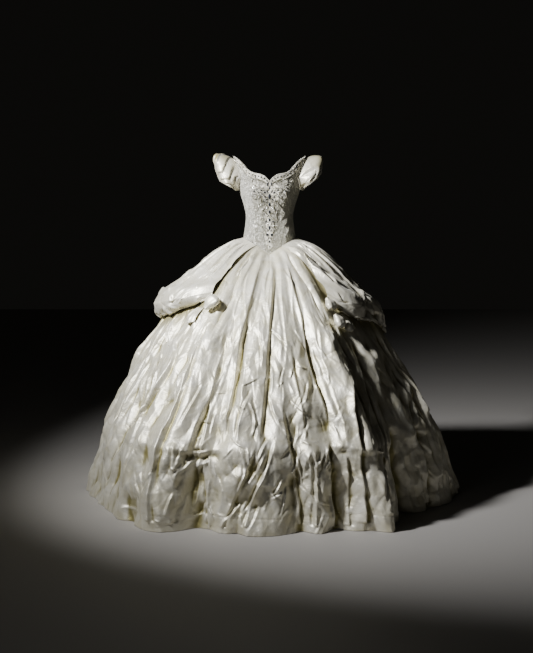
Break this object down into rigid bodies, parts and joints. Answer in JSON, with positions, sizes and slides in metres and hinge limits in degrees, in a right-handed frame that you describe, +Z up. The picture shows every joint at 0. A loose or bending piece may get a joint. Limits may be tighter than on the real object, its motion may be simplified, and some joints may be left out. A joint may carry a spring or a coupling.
{
  "type": "wedding dress",
  "caption": "Off-the-shoulder ball gown filled out as worn: beaded bodice with a pointed waist, puffed sleeves, and a full gathered skirt with tacked side poufs.",
  "frame": {"origin": "centre of the natural waist, where the wearer's figure holds the dress up", "axes": "+Z up, the front faces -Y, +X towards the wearer's left"},
  "size_m": [1.602, 1.6457, 1.4612],
  "materials": {
    "satin": "ivory satin taffeta with a soft sheen and sharp crease lines",
    "brocade": "ivory figured brocade, a little duller than the satin",
    "pearl_bead": "pearl and silver seed beads sewn on a net",
    "crystal": "faceted clear and smoke glass stones",
    "covered_button": "satin-covered button"
  },
  "bodies": {
    "root": {"bodice_front": "brocade", "bodice_side_front_left": "brocade", "bodice_side_front_right": "brocade", "bodice_underarm_left": "brocade", "bodice_underarm_right": "brocade", "bodice_back_left": "brocade", "bodice_back_right": "brocade", "strap_left": "brocade", "strap_right": "brocade", "placket": "brocade", "button_1": "covered_button", "button_2": "covered_button", "button_3": "covered_button", "button_4": "covered_button", "button_5": "covered_button", "button_6": "covered_button", "button_7": "covered_button", "button_8": "covered_button", "skirt_front": "satin", "skirt_side_left": "satin", "skirt_back_left": "satin", "skirt_back_right": "satin", "skirt_side_right": "satin", "pouf_left": "satin", "pouf_right": "satin", "loop_right": "satin", "loop_left_upper": "satin", "loop_left_lower": "satin", "tab_right": "satin", "tab_right_side": "satin", "tab_left": "satin", "sleeve_left": "satin", "sleeve_right": "satin", "beaded_centre": "crystal", "beaded_border_front": "pearl_bead", "beaded_border_side_left": "pearl_bead", "beaded_border_side_right": "pearl_bead", "beaded_border_strap_left": "pearl_bead", "beaded_border_strap_right": "pearl_bead"}
  },
  "joints": []
}
